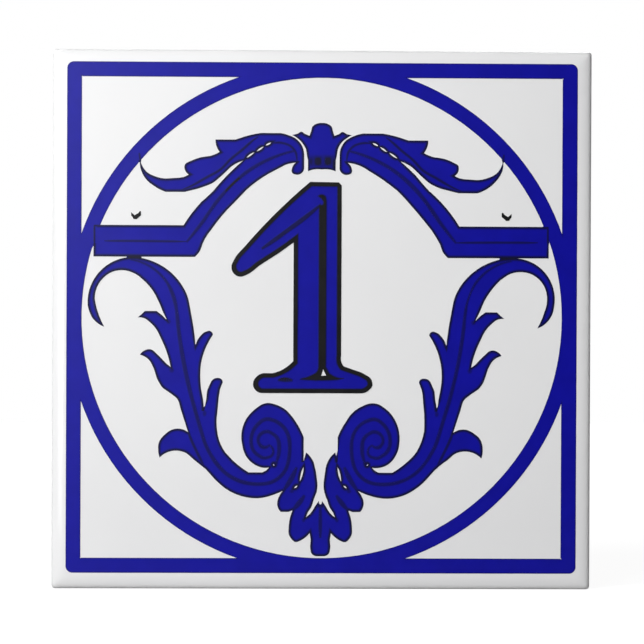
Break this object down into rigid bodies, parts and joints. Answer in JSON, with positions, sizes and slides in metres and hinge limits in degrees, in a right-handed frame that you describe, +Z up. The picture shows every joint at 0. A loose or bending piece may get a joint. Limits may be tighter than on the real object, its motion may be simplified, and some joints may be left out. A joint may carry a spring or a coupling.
{
  "type": "house number plaque",
  "caption": "Square glazed ceramic tile that shows a house number inside a printed blue ring, frame and leaf scroll ornament.",
  "frame": {"origin": "middle of the flat back, in the plane that the back's ribs and border lie in", "axes": "+Y out of the back, into the wall, so the printed face looks along -Y; +Z up the number; +X to its right"},
  "size_m": [0.152, 0.0065, 0.152],
  "materials": {
    "white_glaze": "gloss",
    "blue_glaze": "gloss",
    "black_glaze": "gloss"
  },
  "bodies": {
    "root": {"tile": "white_glaze", "blue_print": "blue_glaze", "black_print": "black_glaze"}
  },
  "joints": []
}
